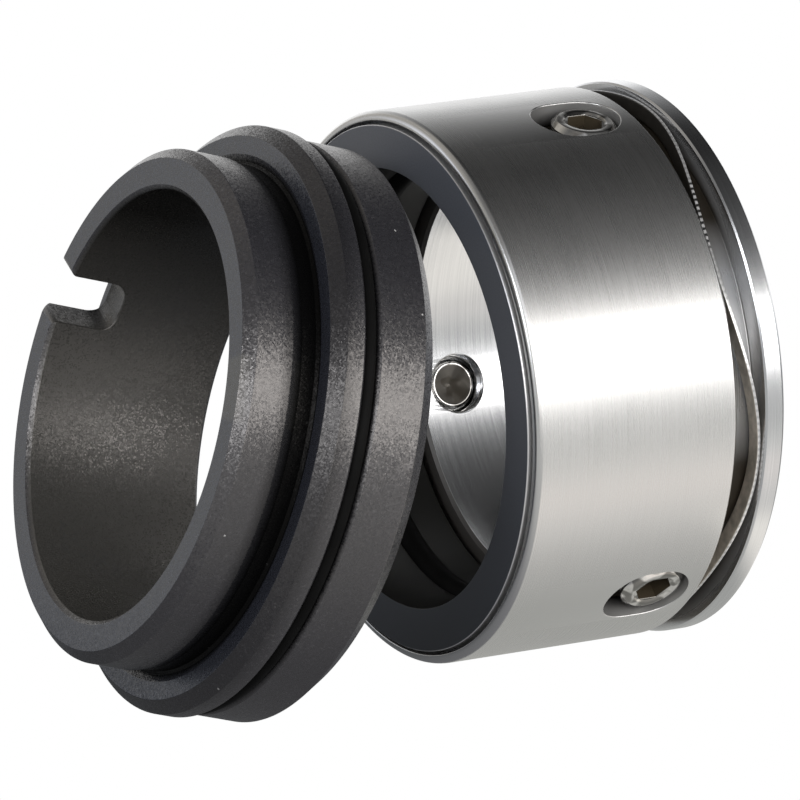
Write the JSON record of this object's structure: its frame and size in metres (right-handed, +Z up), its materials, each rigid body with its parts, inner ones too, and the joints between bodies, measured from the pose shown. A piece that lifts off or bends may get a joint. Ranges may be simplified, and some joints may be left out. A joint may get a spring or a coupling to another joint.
{
  "type": "component mechanical seal",
  "caption": "Component mechanical seal: sprung rotary unit on a drive collar with set screws and a wave spring, and a stationary seat ring with an anti-rotation notch and a housing O-ring",
  "frame": {"origin": "centre of the back face of the drive collar, on the shaft's axis", "axes": "+X along the shaft from the sealing face towards the collar's back, +Z up, +Y away from the viewer of the picture"},
  "size_m": [0.0778, 0.0698, 0.0694],
  "materials": {
    "turned_steel": "fine turned stainless steel",
    "screw_steel": "bright turned stainless steel",
    "spring_steel": "rolled spring steel strip",
    "drawn_steel": "stainless shell, brushed round",
    "lapped_face": "dark lapped silicon carbide",
    "seat_ceramic": "matt dark grey sintered silicon carbide",
    "elastomer": "black matt elastomer"
  },
  "bodies": {
    "collar": {"drive_collar": "turned_steel", "set_screw_1": "screw_steel", "set_screw_2": "screw_steel", "set_screw_3": "screw_steel", "wave_spring": "spring_steel"},
    "carrier": {"face_carrier": "drawn_steel", "face_ring": "lapped_face", "shaft_o_ring": "elastomer"},
    "seat": {"seat_ring": "seat_ceramic", "seat_o_ring": "elastomer"}
  },
  "joints": [
    {"name": "face_slide", "type": "slide", "parent": "collar", "child": "carrier", "axis": [1, 0, 0], "range_m": [0, 0.0009], "stiffness_N_per_m": 30000, "springref_m": -0.0013, "deforming": ["wave_spring"]},
    {"name": "seat_turn", "type": "hinge", "parent": "collar", "child": "seat", "pos_m": [-0.06065, 0, 0], "axis": [0.9573, -0.0741, -0.2794], "continuous": true}
  ]
}
